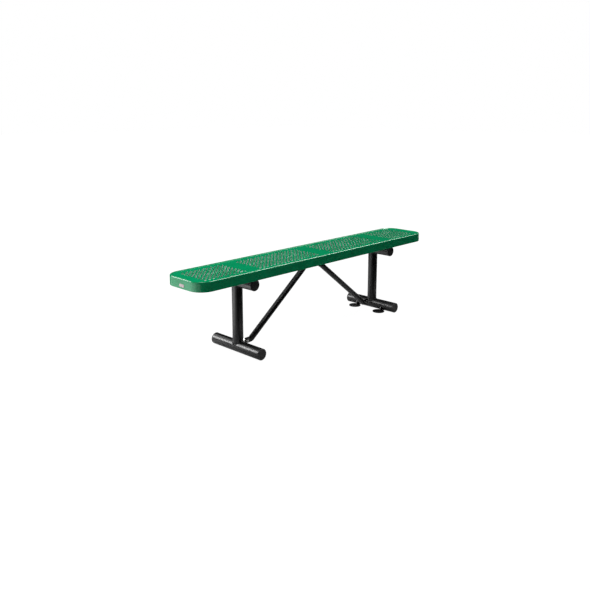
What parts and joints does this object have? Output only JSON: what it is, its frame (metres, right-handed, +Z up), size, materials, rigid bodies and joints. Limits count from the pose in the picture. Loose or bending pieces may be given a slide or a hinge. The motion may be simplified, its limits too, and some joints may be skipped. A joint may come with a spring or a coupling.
{
  "type": "backless bench",
  "caption": "Backless park bench: a perforated, coated steel plank on two round-tube legs with slanting braces and ground anchor discs.",
  "frame": {"origin": "on the ground under the middle of the bench", "axes": "+X along the bench towards its right end as seen from the front, +Y towards the back, +Z up; the front is at -Y and the blank plate is on the -X end"},
  "size_m": [1.8297, 0.366, 0.4572],
  "materials": {
    "green_coating": "smooth satin-gloss green plastic-like coating over steel",
    "black_powder_coat": "satin black powder coat with a fine orange-peel texture",
    "black_plastic": "moulded, fine matt grain",
    "zinc_plate": "zinc-plated, slightly dull",
    "galvanized_steel": "dull galvanized sheet with a faint spangle, inside the plank",
    "label_film": "blank pale adhesive plate"
  },
  "bodies": {
    "root": {"anchor_disc_back_left": "black_powder_coat", "anchor_disc_back_right": "black_powder_coat", "anchor_disc_front_left": "black_powder_coat", "anchor_disc_front_right": "black_powder_coat", "blank_label": "label_film", "brace_bolt_low_left": "zinc_plate", "brace_bolt_low_right": "zinc_plate", "brace_bolt_top_left": "zinc_plate", "brace_bolt_top_right": "zinc_plate", "brace_bracket": "black_powder_coat", "brace_ear_left": "black_powder_coat", "brace_ear_right": "black_powder_coat", "brace_left": "black_powder_coat", "brace_nut_low_left": "zinc_plate", "brace_nut_low_right": "zinc_plate", "brace_nut_top_left": "zinc_plate", "brace_nut_top_right": "zinc_plate", "brace_right": "black_powder_coat", "brace_washer_low_left": "zinc_plate", "brace_washer_low_right": "zinc_plate", "brace_washer_top_left": "zinc_plate", "brace_washer_top_right": "zinc_plate", "column_left": "black_powder_coat", "column_right": "black_powder_coat", "cross_member_center": "galvanized_steel", "cross_member_left": "galvanized_steel", "cross_member_right": "galvanized_steel", "foot_plug_back_left": "black_plastic", "foot_plug_back_right": "black_plastic", "foot_plug_front_left": "black_plastic", "foot_plug_front_right": "black_plastic", "foot_tube_left": "black_powder_coat", "foot_tube_right": "black_powder_coat", "mount_plate_left": "black_powder_coat", "mount_plate_right": "black_powder_coat", "seat_bolt_left_1": "zinc_plate", "seat_bolt_left_2": "zinc_plate", "seat_bolt_left_3": "zinc_plate", "seat_bolt_left_4": "zinc_plate", "seat_bolt_right_1": "zinc_plate", "seat_bolt_right_2": "zinc_plate", "seat_bolt_right_3": "zinc_plate", "seat_bolt_right_4": "zinc_plate", "seat_nut_left_1": "zinc_plate", "seat_nut_left_2": "zinc_plate", "seat_nut_left_3": "zinc_plate", "seat_nut_left_4": "zinc_plate", "seat_nut_right_1": "zinc_plate", "seat_nut_right_2": "zinc_plate", "seat_nut_right_3": "zinc_plate", "seat_nut_right_4": "zinc_plate", "seat_plank": "green_coating", "seat_stiffener": "galvanized_steel", "top_plug_back_left": "black_plastic", "top_plug_back_right": "black_plastic", "top_plug_front_left": "black_plastic", "top_plug_front_right": "black_plastic", "top_tube_left": "black_powder_coat", "top_tube_right": "black_powder_coat"}
  },
  "joints": []
}
